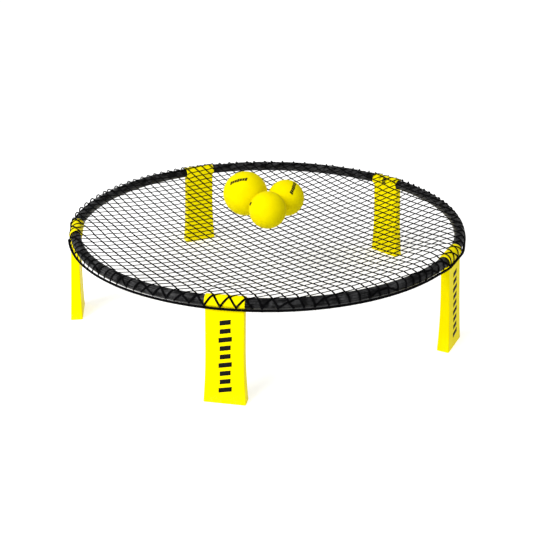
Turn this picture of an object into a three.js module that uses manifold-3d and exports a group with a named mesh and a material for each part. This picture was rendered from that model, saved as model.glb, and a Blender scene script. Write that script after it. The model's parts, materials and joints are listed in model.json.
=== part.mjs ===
// A roundnet set: a round tubular rim on five legs that fold in under it, a net stretched over the rim
// and held by a perimeter cord, and three balls resting on the net.
// Millimetres, +Z up. The origin is on the ground under the centre of the rim, and leg_1 stands at -Y.
import * as THREE from "three";
import { mergeVertices } from "three/addons/utils/BufferGeometryUtils.js";
import Module from "manifold-3d";

const wasm = await Module();
wasm.setup();

// ---- driving dimensions ----

const FULL_TURN = 2 * Math.PI;
const LEG_COUNT = 5;
const FIRST_LEG_ANGLE = -FULL_TURN / 4;
const BAY_ANGLE = FULL_TURN / LEG_COUNT; // from one leg to the next

// Rim: five curved plastic tubes, joined end to end inside the leg collars.
const RIM_RADIUS = 438; // to the centre line of the tube
const RIM_HEIGHT = 206; // of that centre line above the ground
const TUBE_RADIUS = 11.2;
const TUBE_WALL = 2;
const TUBE_SIDES = 12;
const TUBE_STEPS = 14; // straight runs that make one tube's arc
const TUBE_END_GAP = 0.4; // between two tube ends

// Ferrule: the short sleeve that plugs two tube ends together.
const FERRULE_CLEARANCE = 0.3;
const FERRULE_WALL = 1.8;

// Leg: a moulded blade, hollow and open at the foot, with a collar at its head that turns on the rim.
const HINGE_INSET = 0.9; // the collar's straight bore splits the sag of the curved tube inside it
const COLLAR_RADIUS = 13.9;
const COLLAR_BORE_RADIUS = 12.5;
const COLLAR_LENGTH = 78;
const COLLAR_CHAMFER = 1.2;
const COLLAR_SIDES = 24;
const LEG_HALF_WIDTH = 38;
const FOOT_HALF_WIDTH = 42.6;
const FLARE_HEIGHT = 116.8; // where the blade stops widening towards its foot
const OUTER_FACE_AT_HEAD = 10; // radial offsets from the tube's centre line
const OUTER_FACE_AT_FOOT = 27.8;
const INNER_FACE_AT_HEAD = -9;
const INNER_FACE_AT_FOOT = 0.8;
const HEEL_HEIGHT = 187.3; // where the inner face stops curving
const LEG_WALL = 2.8;
const CAVITY_TOP = 188;
const CUT_OVERRUN = 4; // how far a cutting solid runs past the face it opens

// Net: a field that sags like a shallow bowl inside the rim, an edge wrapped over the rim, and the cord
// that pulls the edge down.
const NET_TOP = 218; // where the net crosses the top of the rim
const NET_SAG = 40.5; // from there down to the middle of the bowl
const NET_THICKNESS = 1.6;
const NET_FIELD_RADIUS = 424;
const NET_FIELD_RINGS = 6;
const NET_GAP = 0.4; // between the field and the wrapped edge
const EDGE_INNER_RADIUS = 16.3; // round the tube's centre line, clear of the collars
const EDGE_THICKNESS = 1.2;
const EDGE_START_ANGLE = THREE.MathUtils.degToRad(137); // on the inside of the rim, above level
const EDGE_END_ANGLE = THREE.MathUtils.degToRad(-8); // on the outside of the rim, below level
const EDGE_ARC_STEPS = 5;
const NET_STEPS = 50;
const CORD_RING_RADIUS = 454;
const CORD_HEIGHT = 200;
const CORD_RADIUS = 2.2;
const CORD_SIDES = 6;
const CORD_STEPS = 75;

// Balls: rubber shells with a push-in valve plug, resting on the net.
const BALL_WALL = 2.6;
const BALL_REST_GAP = 0.3;
const VALVE_RADIUS = 3.4;
const VALVE_CLEARANCE = 0.3;
const VALVE_LENGTH = 9;
const VALVE_RECESS = 0.6;
const BALLS = [
  { name: "ball_large", radius: 54, x: -74.2, y: 103.8, valve: [-0.5, 0.6, 0.62] },
  { name: "ball_small_1", radius: 44.45, x: -5.8, y: 31.6, valve: [-0.4, -0.5, -0.77] },
  { name: "ball_small_2", radius: 44.45, x: 24, y: 117.6, valve: [0.75, 0.6, -0.3] },
];

// ---- materials ----

const plastic = (color, roughness) => new THREE.MeshStandardMaterial({ color, roughness, metalness: 0 });
const rimPlastic = plastic("#1c1c1e", 0.5);
const ferrulePlastic = plastic("#3a3a3c", 0.6);
const legPlastic = plastic("#fff404", 0.35);
const netNylon = plastic("#111113", 0.85);
const cordNylon = plastic("#0c0c0d", 0.8);
const ballRubber = plastic("#f6e206", 0.55);
const valveRubber = plastic("#1a1a1a", 0.7);

// ---- helpers ----

// A closed geometry as a manifold-3d solid.
function solidOf(geometry) {
  const bare = geometry.clone();
  bare.deleteAttribute("normal");
  bare.deleteAttribute("uv");
  const merged = mergeVertices(bare, 1e-4);
  return new wasm.Manifold(
    new wasm.Mesh({
      numProp: 3,
      vertProperties: merged.attributes.position.array,
      triVerts: new Uint32Array(merged.index.array),
    }),
  );
}

// A manifold-3d solid as a geometry that three.js can draw.
function geometryOf(solid) {
  const mesh = solid.getMesh();
  const geometry = new THREE.BufferGeometry();
  geometry.setAttribute("position", new THREE.BufferAttribute(mesh.vertProperties, 3));
  geometry.setIndex(new THREE.BufferAttribute(mesh.triVerts, 1));
  geometry.computeVertexNormals();
  return geometry;
}

function namedMesh(name, geometry, material) {
  const mesh = new THREE.Mesh(geometry, material);
  mesh.name = name;
  return mesh;
}

const legAngle = (index) => FIRST_LEG_ANGLE + index * BAY_ANGLE;

function circlePoints(radius, sides) {
  return Array.from({ length: sides }, (_, i) => {
    const angle = (FULL_TURN * i) / sides;
    return new THREE.Vector2(radius * Math.cos(angle), radius * Math.sin(angle));
  });
}

// A level arc at the rim's radius and height.
class RimArc extends THREE.Curve {
  constructor(start, end) {
    super();
    this.start = start;
    this.end = end;
  }

  getPoint(t, target = new THREE.Vector3()) {
    const angle = this.start + (this.end - this.start) * t;
    return target.set(RIM_RADIUS * Math.cos(angle), RIM_RADIUS * Math.sin(angle), RIM_HEIGHT);
  }
}

// A hollow tube that follows the rim from one angle to another, in straight runs.
function arcTube(start, end, steps, outerRadius, wall) {
  const section = new THREE.Shape(circlePoints(outerRadius, TUBE_SIDES));
  section.holes.push(new THREE.Path(circlePoints(outerRadius - wall, TUBE_SIDES)));
  return new THREE.ExtrudeGeometry(section, { steps, extrudePath: new RimArc(start, end) });
}

// ---- rim ----

function rimTube(index) {
  const margin = TUBE_END_GAP / 2 / RIM_RADIUS;
  const start = legAngle(index) + margin;
  const end = legAngle(index + 1) - margin;
  const geometry = arcTube(start, end, TUBE_STEPS, TUBE_RADIUS, TUBE_WALL);
  return namedMesh(`rim_tube_${index + 1}`, geometry, rimPlastic);
}

// It spans one straight run of the tube on each side, so the two follow the same line.
function rimFerrule(index) {
  const reach = BAY_ANGLE / TUBE_STEPS;
  const centre = legAngle(index);
  const outerRadius = TUBE_RADIUS - TUBE_WALL - FERRULE_CLEARANCE;
  const geometry = arcTube(centre - reach, centre + reach, 2, outerRadius, FERRULE_WALL);
  return namedMesh(`rim_ferrule_${index + 1}`, geometry, ferrulePlastic);
}

// ---- leg, in its own frame: +X outwards from the tube's centre line, Y along the tangent, +Z up ----

// The blade seen from outside the ring, shrunk by inset on both sides.
function bladeFront(inset, bottom, top) {
  const foot = FOOT_HALF_WIDTH - inset;
  const waist = LEG_HALF_WIDTH - inset;
  const outline = new THREE.Shape();
  outline.moveTo(-foot, bottom);
  outline.lineTo(foot, bottom);
  outline.lineTo(foot, 0);
  outline.quadraticCurveTo(waist, FLARE_HEIGHT / 2, waist, FLARE_HEIGHT);
  outline.lineTo(waist, top);
  outline.lineTo(-waist, top);
  outline.lineTo(-waist, FLARE_HEIGHT);
  outline.quadraticCurveTo(-waist, FLARE_HEIGHT / 2, -foot, 0);
  outline.closePath();
  return outline;
}

// The blade seen along the tangent: a straight outer face that leans out, and a curved inner face.
function bladeSide(inset, bottom, top) {
  const lean = (OUTER_FACE_AT_FOOT - OUTER_FACE_AT_HEAD) / RIM_HEIGHT;
  const outerAt = (height) => OUTER_FACE_AT_FOOT - lean * height - inset;
  const innerHeel = INNER_FACE_AT_HEAD + lean * (RIM_HEIGHT - HEEL_HEIGHT) + inset;
  const innerAtTop = innerHeel - lean * (top - HEEL_HEIGHT);
  const innerBend = innerHeel + (lean * HEEL_HEIGHT) / 2; // the curve leaves the heel along the straight face
  const outline = new THREE.Shape();
  outline.moveTo(INNER_FACE_AT_FOOT + inset, bottom);
  outline.lineTo(outerAt(bottom), bottom);
  outline.lineTo(outerAt(top), top);
  outline.lineTo(innerAtTop, top);
  outline.lineTo(innerHeel, HEEL_HEIGHT);
  outline.quadraticCurveTo(innerBend, HEEL_HEIGHT / 2, INNER_FACE_AT_FOOT + inset, 0);
  outline.closePath();
  return outline;
}

// The solid that has both outlines.
function blade(inset, bottom, top) {
  const span = 3 * FOOT_HALF_WIDTH; // wider than either outline
  const options = { depth: span, bevelEnabled: false, curveSegments: 5 };
  const front = new THREE.ExtrudeGeometry(bladeFront(inset, bottom, top), options);
  front.translate(0, 0, -span / 2);
  front.rotateX(Math.PI / 2);
  front.rotateZ(Math.PI / 2);
  const side = new THREE.ExtrudeGeometry(bladeSide(inset, bottom, top), options);
  side.translate(0, 0, -span / 2);
  side.rotateX(Math.PI / 2);
  return solidOf(front).intersect(solidOf(side));
}

// A round bar along the hinge axis, with its ends chamfered.
function hingeBar(radius, length, chamfer) {
  const half = length / 2;
  const profile = [
    new THREE.Vector2(0, -half),
    new THREE.Vector2(radius - chamfer, -half),
    new THREE.Vector2(radius, -half + chamfer),
    new THREE.Vector2(radius, half - chamfer),
    new THREE.Vector2(radius - chamfer, half),
    new THREE.Vector2(0, half),
  ];
  const bar = new THREE.LatheGeometry(profile, COLLAR_SIDES);
  bar.translate(-HINGE_INSET, 0, RIM_HEIGHT);
  return solidOf(bar);
}

function legGeometry() {
  const shell = blade(0, 0, RIM_HEIGHT).subtract(blade(LEG_WALL, -CUT_OVERRUN, CAVITY_TOP));
  const collar = hingeBar(COLLAR_RADIUS, COLLAR_LENGTH, COLLAR_CHAMFER);
  const bore = hingeBar(COLLAR_BORE_RADIUS, COLLAR_LENGTH + 2 * CUT_OVERRUN, COLLAR_CHAMFER);
  return geometryOf(shell.add(collar).subtract(bore));
}

function leg(index, geometry) {
  const mesh = namedMesh(`leg_${index + 1}`, geometry, legPlastic);
  const angle = legAngle(index);
  mesh.position.set(RIM_RADIUS * Math.cos(angle), RIM_RADIUS * Math.sin(angle), 0);
  mesh.rotation.z = angle;
  return mesh;
}

// ---- net and cord ----

// A LatheGeometry turns about Y, so its result is stood up to turn about Z.
function ringAboutZ(profile, steps) {
  const geometry = new THREE.LatheGeometry(profile, steps);
  geometry.rotateX(Math.PI / 2);
  return geometry;
}

// The net's upper face sags as a paraboloid.
const netHeight = (radius) => NET_TOP - NET_SAG * (1 - (radius / RIM_RADIUS) ** 2);
const netSlope = (radius) => (2 * NET_SAG * radius) / RIM_RADIUS ** 2;

function netField() {
  const over = Array.from({ length: NET_FIELD_RINGS + 1 }, (_, i) => {
    const radius = (NET_FIELD_RADIUS * i) / NET_FIELD_RINGS;
    return new THREE.Vector2(radius, netHeight(radius));
  });
  const under = over.map(({ x, y }) => new THREE.Vector2(x, y - NET_THICKNESS));
  const profile = [...under, ...over.reverse()];
  return namedMesh("net_field", ringAboutZ(profile, NET_STEPS), netNylon);
}

// Points on a circle round the tube's centre line, from the inside of the rim to the outside.
function edgeArc(radius) {
  return Array.from({ length: EDGE_ARC_STEPS + 1 }, (_, i) => {
    const angle = EDGE_START_ANGLE + ((EDGE_END_ANGLE - EDGE_START_ANGLE) * i) / EDGE_ARC_STEPS;
    return new THREE.Vector2(RIM_RADIUS + radius * Math.cos(angle), RIM_HEIGHT + radius * Math.sin(angle));
  });
}

function netEdge() {
  const start = NET_FIELD_RADIUS + NET_GAP;
  const top = netHeight(start);
  const under = edgeArc(EDGE_INNER_RADIUS);
  const over = edgeArc(EDGE_INNER_RADIUS + EDGE_THICKNESS).reverse();
  const inner = [new THREE.Vector2(start, top), new THREE.Vector2(start, top - NET_THICKNESS)];
  const profile = [inner[1], ...under, ...over, inner[0], inner[1].clone()];
  return namedMesh("net_edge", ringAboutZ(profile, NET_STEPS), netNylon);
}

function perimeterCord() {
  const geometry = new THREE.TorusGeometry(CORD_RING_RADIUS, CORD_RADIUS, CORD_SIDES, CORD_STEPS);
  geometry.translate(0, 0, CORD_HEIGHT);
  return namedMesh("perimeter_cord", geometry, cordNylon);
}

// ---- balls ----

// A round plug that stands on the ball's own +Z, ending just below its skin.
function valvePlug(ballRadius, radius, length) {
  const plug = new THREE.CylinderGeometry(radius, radius, length, 12);
  plug.rotateX(Math.PI / 2);
  plug.translate(0, 0, ballRadius - VALVE_RECESS - length / 2);
  return plug;
}

function ball({ name, radius, x, y, valve }) {
  const outside = new THREE.SphereGeometry(radius, 20, 12);
  const inside = new THREE.SphereGeometry(radius - BALL_WALL, 12, 8);
  const hole = valvePlug(radius, VALVE_RADIUS + VALVE_CLEARANCE, 2 * VALVE_LENGTH);
  hole.translate(0, 0, VALVE_LENGTH);
  const shell = solidOf(outside).subtract(solidOf(inside)).subtract(solidOf(hole));
  const group = new THREE.Group();
  group.add(namedMesh(name, geometryOf(shell), ballRubber));
  group.add(namedMesh(`${name}_valve`, valvePlug(radius, VALVE_RADIUS, VALVE_LENGTH), valveRubber));
  const reach = Math.hypot(x, y);
  const standoff = (radius + BALL_REST_GAP) * Math.hypot(1, netSlope(reach));
  group.position.set(x, y, netHeight(reach) + standoff);
  const up = new THREE.Vector3(0, 0, 1);
  group.quaternion.setFromUnitVectors(up, new THREE.Vector3(...valve).normalize());
  return group;
}

// ---- assembly ----

const roundnet = new THREE.Group();
const legShape = legGeometry();
for (let index = 0; index < LEG_COUNT; index++) {
  roundnet.add(rimTube(index), rimFerrule(index), leg(index, legShape));
}
roundnet.add(netField(), netEdge(), perimeterCord());
for (const spec of BALLS) roundnet.add(ball(spec));

export default roundnet;
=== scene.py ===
"""Roundnet set: the looks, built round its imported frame. Metres, +Z up, leg_1 at -Y."""
import json
import math
from collections import namedtuple

import bmesh
import bpy
import numpy as np
from mathutils import Matrix, Vector


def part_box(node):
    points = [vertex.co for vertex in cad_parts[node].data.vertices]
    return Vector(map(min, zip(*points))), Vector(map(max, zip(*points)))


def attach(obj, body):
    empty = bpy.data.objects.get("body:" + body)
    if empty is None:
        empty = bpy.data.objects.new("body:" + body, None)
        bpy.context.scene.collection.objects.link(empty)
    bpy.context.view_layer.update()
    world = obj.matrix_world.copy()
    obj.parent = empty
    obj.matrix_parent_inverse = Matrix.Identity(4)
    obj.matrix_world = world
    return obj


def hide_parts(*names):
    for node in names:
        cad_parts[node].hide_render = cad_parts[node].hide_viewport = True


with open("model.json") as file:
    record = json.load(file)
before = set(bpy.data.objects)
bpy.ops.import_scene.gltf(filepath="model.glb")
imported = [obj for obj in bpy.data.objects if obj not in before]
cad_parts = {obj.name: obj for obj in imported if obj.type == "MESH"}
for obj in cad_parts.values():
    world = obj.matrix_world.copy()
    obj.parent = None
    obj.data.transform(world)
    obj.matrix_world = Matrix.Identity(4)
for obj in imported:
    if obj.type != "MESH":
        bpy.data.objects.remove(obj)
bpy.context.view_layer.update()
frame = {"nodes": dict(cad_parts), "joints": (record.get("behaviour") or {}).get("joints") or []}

MM = 0.001
FULL_TURN = 2 * math.pi
UP = np.array([0.0, 0.0, 1.0])

# ---- sizes and places read from the frame ----


def node_points(*names):
    """All the corners of some CAD nodes, as an array."""
    return np.array([v.co for name in names for v in frame["nodes"][name].data.vertices])


def radii(points):
    """Distances from the ring's upright axis."""
    return np.hypot(points[:, 0], points[:, 1])


HINGES = sorted((j for j in frame["joints"] if j["name"].endswith("_fold")), key=lambda j: j["name"])
LEG_ANGLES = [math.atan2(j["pos_m"][1], j["pos_m"][0]) for j in HINGES]
LEG_COUNT = len(HINGES)
BAY_ANGLE = FULL_TURN / LEG_COUNT
HINGE_RADIUS = math.hypot(*HINGES[0]["pos_m"][:2])
RIM_HEIGHT = HINGES[0]["pos_m"][2]

tube_points = node_points(*(f"rim_tube_{k + 1}" for k in range(LEG_COUNT)))
TUBE_RADIUS = tube_points[:, 2].max() - RIM_HEIGHT
RIM_RADIUS = radii(tube_points).max() - TUBE_RADIUS

cord_points = node_points("perimeter_cord")
cord_radii = radii(cord_points)
CORD_RING_RADIUS = (cord_radii.max() + cord_radii.min()) / 2
CORD_RADIUS = (cord_radii.max() - cord_radii.min()) / 2
CORD_HEIGHT = (cord_points[:, 2].max() + cord_points[:, 2].min()) / 2

leg_low, leg_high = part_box("leg_1")
COLLAR_RADIUS = leg_high.z - RIM_HEIGHT
FOOT_HALF_WIDTH = (leg_high.x - leg_low.x) / 2
OUTER_FACE_AT_FOOT = -leg_low.y - RIM_RADIUS

field_points = node_points("net_field")
CAD_NET_HALF_THICKNESS = 0.8 * MM
NET_CENTRE_HEIGHT = field_points[:, 2].min() + CAD_NET_HALF_THICKNESS
NET_FIELD_REACH = radii(field_points).max()
NET_FIELD_EDGE_HEIGHT = field_points[:, 2].max() - CAD_NET_HALF_THICKNESS
NET_CURVATURE = (NET_FIELD_EDGE_HEIGHT - NET_CENTRE_HEIGHT) / NET_FIELD_REACH**2

# ---- sizes of the visible detail ----

TUBE_WALL = 2 * MM
TUBE_LIP = 0.5 * MM
TUBE_END_GAP = 0.4 * MM

COLLAR_HALF_LENGTH = 39 * MM
COLLAR_BORE_RADIUS = 12.5 * MM
COLLAR_LIP = 1.5 * MM
LEG_HALF_WIDTH = 38 * MM
FLARE_SHARE = 0.565  # of the rim's height, up to where the blade widens towards its foot
HEEL_SHARE = 0.906  # likewise, up to where it thickens
OUTER_FACE_AT_HEAD = 10 * MM
DEPTH_AT_HEAD = 19 * MM
DEPTH_GAIN_AT_FOOT = 8 * MM
LEG_CORNER_RADIUS = 2.6 * MM
LEG_WALL = 2.8 * MM
LEG_ROWS = 34
CAVITY_TOP = 188 * MM
CAVITY_ROWS = 26
CAVITY_CORNER_RADIUS = 1.2 * MM
OVERRUN = 4 * MM  # of a cutting shape, past the end of what it cuts
FOOT_EDGE_RADIUS = 0.8 * MM
FOOT_EDGE_ROWS = 4
COLLAR_STEPS = 72
AXIS_RADIUS = 0.0001 * MM  # in place of 0, where a profile meets its axis
FINE_WELD = 0.005 * MM
FINEST_WELD = 0.001 * MM

BAR_A = np.array([16.2, 14.89]) * MM  # from a knot to the next one on an A strand, seen from above
BAR_B = np.array([15.03, -15.77]) * MM
FIRST_KNOT = np.array([4.3, -7.9]) * MM
STRAND_WIDTH = 4.2 * MM  # the strands are flat braids that lie in the net's surface
STRAND_THICKNESS = 1.5 * MM
KNOT_WIDTH = 2.5 * MM
KNOT_THICKNESS = 1.5 * MM
KNOT_HALF_LENGTH = 1.3 * MM
KNOT_TURN = math.radians(-25)  # of a knot, from the lattice's own long diagonal
KNOT_SPREAD = 1.0 * MM  # half the distance between the strands in a knot
KNOT_LIFT = 0.1 * MM
KNOT_SHOULDER_LIFT = 0.3 * KNOT_LIFT  # on the way in and out of a knot
BEND_REACH = 0.7 * MM
KNOT_SPAN = range(-60, 61)  # lattice numbers, reaching past the rim
RIM_NEARNESS = 22 * MM  # bars nearer the rim than this follow its curve in smaller steps
RIM_BAR_STEPS = 8
WRAP_FADE = 7 * MM  # beyond a collar, along which the net comes down to the tube
WRAP_GAP = 0.98 * MM  # from the rim's or collar's face to the middle of a strand
FREE_REACH = 445 * MM  # knots inside this radius are free, and the others are laced to the cord
EDGE_PULL = 4.5 * MM
EDGE_PULL_START = 400 * MM
WRAP_SLOPE = 0.2  # of the net where it leaves the rim
WRAP_LEAN = math.atan(WRAP_SLOPE)
WRAP_BLEND = 2 * MM
LACING_DRIFT = -13.5 * MM  # drag of the lacing round the rim, most of all at LACING_DRIFT_TURN
LACING_DRIFT_TURN = math.radians(-30)
LACING_TUGS = ((math.radians(-18), -6 * MM), (math.radians(-165), 7 * MM))  # (turn, more drag there)
LACING_TUG_END = 0.93  # cosine of the angle at which a tug has died away

# Turns, in degrees from +X, over which the lacing gets slack behind and tight again in front.
SLACK_OPENING = (6, 22)
SLACK_CLOSING = (186, 200)
TIGHT_EYE_THICKNESS = 1.3 * MM
SLACK_EYE_THICKNESS = 3.4 * MM
EYE_FLATNESS = 0.85
TIGHT_BARREL_THICKNESS = 2.3 * MM  # a barrel is the knot that closes an eye
SLACK_BARREL_THICKNESS = 2.9 * MM
BARREL_HALF_LENGTH = 2.6 * MM
BARREL_FLATNESS = 0.8
BARREL_TAPER = 0.95
BARREL_ROWS = 7

CORD_RISE = 7 * MM  # from the front, where the cord is pulled lowest, to the back
CORD_FALL_TURNS = (0, 24)  # degrees past -X, over which the cord comes down to the front
CORD_RISE_TURNS = (170, 235)  # degrees past -X, over which it rises to the back
CORD_DROP = 1 * MM
CORD_DRAW_IN = 4 * MM  # at the right, +X, the cord runs closer to the rim
CORD_BRIDGE = 70 * MM  # beyond a collar, along which the taut cord comes back to the rim
CORD_TUCK_LEG = 4  # counted from 0: at leg_5 the cord slips under the collar and lies on the blade
CORD_TUCK_DROP = 8 * MM
CORD_TUCK_GAP = 1.4 * MM  # from the blade to the cord
CORD_TUCK_START = COLLAR_HALF_LENGTH + 2 * MM  # from the leg's middle
CORD_TUCK_FULL = COLLAR_HALF_LENGTH - 20 * MM
CORD_CLEARANCE = 0.4 * MM
CORD_SWELL = 1.15  # the braid stands this much prouder than the plain cord
CORD_STEPS = 5400
CORD_SIDES = 12
BRAID_TURNS = 640  # of each yarn set, round the ring
BRAID_YARNS = 3  # in each set
BRAID_RELIEF = 0.05

PRINT_THICKNESS = 0.25 * MM
COLLAR_MARK_THICKNESS = 0.08 * MM
BALL_PRINT_THICKNESS = 0.12 * MM
PRINT_GAP = 0.02 * MM  # from a surface to the underside of its print
PRINT_COLUMNS = 6  # across a bar, so that it follows a curved surface
LEG_PRINT_MIDDLE = 100 * MM  # above the ground
LEG_PRINT_SHIFT = 1.5 * MM
MARKED_LEG = 2  # counted from 0, so leg_3
COLLAR_MARK_FACING = math.radians(25)  # above level, on the collar's inner side
BALL_PRINT_BARS = 7
BALL_PRINT_INK = 0.84  # share of the row that is bars

# ---- mesh helpers ----


def smooth_step(value, start, end):
    """0 before start, 1 after end, and an even turn between them."""
    t = np.clip((value - start) / (end - start), 0, 1)
    return t * t * (3 - 2 * t)


class MeshParts:
    """Gathers points, faces and a UV for each face corner, then makes one mesh of them."""

    def __init__(self):
        self.points = []
        self.faces = []
        self.uvs = []
        self.count = 0

    def add(self, points, faces, uvs):
        self.points.append(np.asarray(points, float))
        self.faces.extend([tuple(index + self.count for index in face) for face in faces])
        self.uvs.extend(uvs)
        self.count += len(points)

    def add_grid(self, rows, along, around, close_rows=False, cap_ends=False):
        """A skin over rows of points, each a closed loop. along is each row's UV length."""
        count, size, _ = rows.shape
        faces = []
        uvs = []
        for row in range(count if close_rows else count - 1):
            after = (row + 1) % count
            u0 = along[row]
            u1 = along[after] if after else along[-1] + (along[-1] - along[-2])
            here = row * size
            there = after * size
            for k in range(size):
                right = (k + 1) % size
                v0 = around * k / size
                v1 = around * (k + 1) / size
                faces.append((here + k, here + right, there + right, there + k))
                uvs.append(((u0, v0), (u0, v1), (u1, v1), (u1, v0)))
        if cap_ends:
            ring = range(size)
            last = (count - 1) * size
            faces += [tuple(ring[::-1]), tuple(last + k for k in ring)]
            uvs.append(tuple((along[0], around * k / size) for k in ring[::-1]))
            uvs.append(tuple((along[-1], around * k / size) for k in ring))
        self.add(rows.reshape(-1, 3), faces, uvs)

    def mesh(self, name):
        mesh = bpy.data.meshes.new(name)
        mesh.from_pydata(np.concatenate(self.points).tolist(), [], self.faces)
        layer = mesh.uv_layers.new(name="flow")
        flat = np.array([c for face in self.uvs for corner in face for c in corner], np.float32)
        layer.data.foreach_set("uv", flat)
        mesh.shade_smooth()
        return mesh


def linked(name, data):
    """A new object in the scene."""
    holder = bpy.data.objects.new(name, data)
    bpy.context.scene.collection.objects.link(holder)
    return holder


def grid_mesh(name, *grid, **ends):
    """A mesh of one grid."""
    parts = MeshParts()
    parts.add_grid(*grid, **ends)
    return parts.mesh(name)


def shown(name, mesh, body, material, replaces=()):
    """Puts a mesh in the scene as a piece that rides on a body."""
    piece = linked(name, mesh)
    mesh.materials.clear()
    mesh.materials.append(material)
    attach(piece, body)
    if replaces:
        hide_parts(*replaces)
    return piece


def unit(vectors):
    """Vectors scaled to a length of 1."""
    return vectors / np.linalg.norm(vectors, axis=-1, keepdims=True)


def spoke_at(turn):
    """The level direction outwards at a turn about the ring, or at each of an array of turns."""
    return np.stack([np.cos(turn), np.sin(turn), np.zeros_like(turn)], axis=-1)


def path_length(points):
    """The distance of each point along a path."""
    steps = np.linalg.norm(np.diff(points, axis=0), axis=1)
    return np.concatenate([[0], np.cumsum(steps)])


def sweep(parts, points, normals, widths, thicknesses, sides=8, closed=False):
    """An oval bar along points: widths lie across the path, and thicknesses along the normals."""
    if closed:
        tangents = unit(np.roll(points, -1, axis=0) - np.roll(points, 1, axis=0))
    else:
        tangents = unit(np.gradient(points, axis=0))
    across = unit(np.cross(tangents, normals))
    facing = np.cross(across, tangents)
    angles = FULL_TURN * np.arange(sides) / sides
    wide = across[:, None] * np.cos(angles)[None, :, None] * np.reshape(widths, (-1, 1, 1)) / 2
    thick = facing[:, None] * np.sin(angles)[None, :, None] * np.reshape(thicknesses, (-1, 1, 1)) / 2
    rows = points[:, None] + wide + thick
    around = math.pi * (np.mean(widths) + np.mean(thicknesses)) / 2
    parts.add_grid(rows, path_length(points), around, close_rows=closed, cap_ends=not closed)


def revolved(profile, steps, axis, centre):
    """A closed profile of (radius, height) points turned about an axis through centre."""
    axis = unit(np.asarray(axis, float))
    side = unit(np.cross(axis, UP if abs(axis[2]) < 0.9 else np.array([1.0, 0, 0])))
    other = np.cross(axis, side)
    angles = FULL_TURN * np.arange(steps) / steps
    spokes = side[None] * np.cos(angles)[:, None] + other[None] * np.sin(angles)[:, None]
    profile = np.asarray(profile, float)
    return centre + spokes[None] * profile[:, None, :1] + axis * profile[:, None, 1:]


def arc(centre, radius, start, end, steps):
    """Points (x, y) on an arc, angles in degrees."""
    angles = np.radians(np.linspace(start, end, steps + 1))
    return [(centre[0] + radius * math.cos(a), centre[1] + radius * math.sin(a)) for a in angles]


def weld(mesh, distance):
    """Joins points that are nearer than a distance, and turns the faces outwards."""
    shape = bmesh.new()
    shape.from_mesh(mesh)
    bmesh.ops.remove_doubles(shape, verts=shape.verts, dist=distance)
    bmesh.ops.recalc_face_normals(shape, faces=shape.faces)
    shape.to_mesh(mesh)
    shape.free()


def mark_sharp(mesh, degrees=32):
    """Shades smooth except across edges that turn by more than this."""
    shape = bmesh.new()
    shape.from_mesh(mesh)
    limit = math.radians(degrees)
    for edge in shape.edges:
        edge.smooth = len(edge.link_faces) == 2 and edge.calc_face_angle(0) < limit
    shape.to_mesh(mesh)
    shape.free()


# ---- materials ----

# The places of the colour sockets on Blender's mix node.
MIX_SHARE, MIX_FIRST, MIX_SECOND, MIX_RESULT = 0, 6, 7, 2


class Finish:
    """A procedural material: a Principled surface, and short calls that add and join its nodes."""

    def __init__(self, name, roughness, **inputs):
        self.material = bpy.data.materials.new(name)
        self.material.use_nodes = True
        self.tree = self.material.node_tree
        self.surface = self.tree.nodes["Principled BSDF"]
        self.surface.inputs["Roughness"].default_value = roughness
        for label, value in inputs.items():
            self.surface.inputs[label.replace("_", " ")].default_value = value
        self.place = self.tree.nodes.new("ShaderNodeTexCoord").outputs["Object"]

    def feed(self, socket, value):
        """Gives an input a fixed value, or links it to another node's output."""
        if isinstance(value, bpy.types.NodeSocket):
            self.tree.links.new(value, socket)
        else:
            socket.default_value = value

    def node(self, kind, **inputs):
        node = self.tree.nodes.new(kind)
        for label, value in inputs.items():
            self.feed(node.inputs[label.replace("_", " ")], value)
        return node

    def flow(self, along, around):
        """The UV that runs along and around a strand or tube, scaled."""
        uv = self.tree.nodes.new("ShaderNodeUVMap")
        uv.uv_map = "flow"
        return self.node("ShaderNodeMapping", Vector=uv.outputs[0], Scale=(along, around, 1)).outputs[0]

    def noise(self, scale, detail=3, roughness=0.5, place=None):
        inputs = {"Scale": scale, "Detail": detail, "Roughness": roughness}
        return self.node("ShaderNodeTexNoise", Vector=place or self.place, **inputs).outputs["Fac"]

    def waves(self, place):
        node = self.node("ShaderNodeTexWave", Vector=place, Scale=1, Distortion=0)
        node.bands_direction = "DIAGONAL"
        return node.outputs["Fac"]

    def math(self, operation, first, second):
        node = self.tree.nodes.new("ShaderNodeMath")
        node.operation = operation
        self.feed(node.inputs[0], first)
        self.feed(node.inputs[1], second)
        return node.outputs[0]

    def spread(self, value, low, high, start=0, end=1):
        """Maps value from low..high to start..end, clamped."""
        ends = {"From_Min": low, "From_Max": high, "To_Min": start, "To_Max": end}
        return self.node("ShaderNodeMapRange", Value=value, **ends).outputs[0]

    def mix(self, share, first, second):
        """The colour at a share of the way from first to second."""
        node = self.tree.nodes.new("ShaderNodeMix")
        node.data_type = "RGBA"
        self.feed(node.inputs[MIX_SHARE], share)
        self.feed(node.inputs[MIX_FIRST], first)
        self.feed(node.inputs[MIX_SECOND], second)
        return node.outputs[MIX_RESULT]

    def colour(self, socket):
        self.tree.links.new(socket, self.surface.inputs["Base Color"])

    def roughness(self, socket):
        self.tree.links.new(socket, self.surface.inputs["Roughness"])

    def bumps(self, *layers):
        """Each layer is (height socket, depth in metres)."""
        normal = None
        for height, depth in layers:
            bump = self.node("ShaderNodeBump", Height=height, Distance=depth, Strength=1.0)
            if normal:
                self.tree.links.new(normal, bump.inputs["Normal"])
            normal = bump.outputs["Normal"]
        self.tree.links.new(normal, self.surface.inputs["Normal"])


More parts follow.
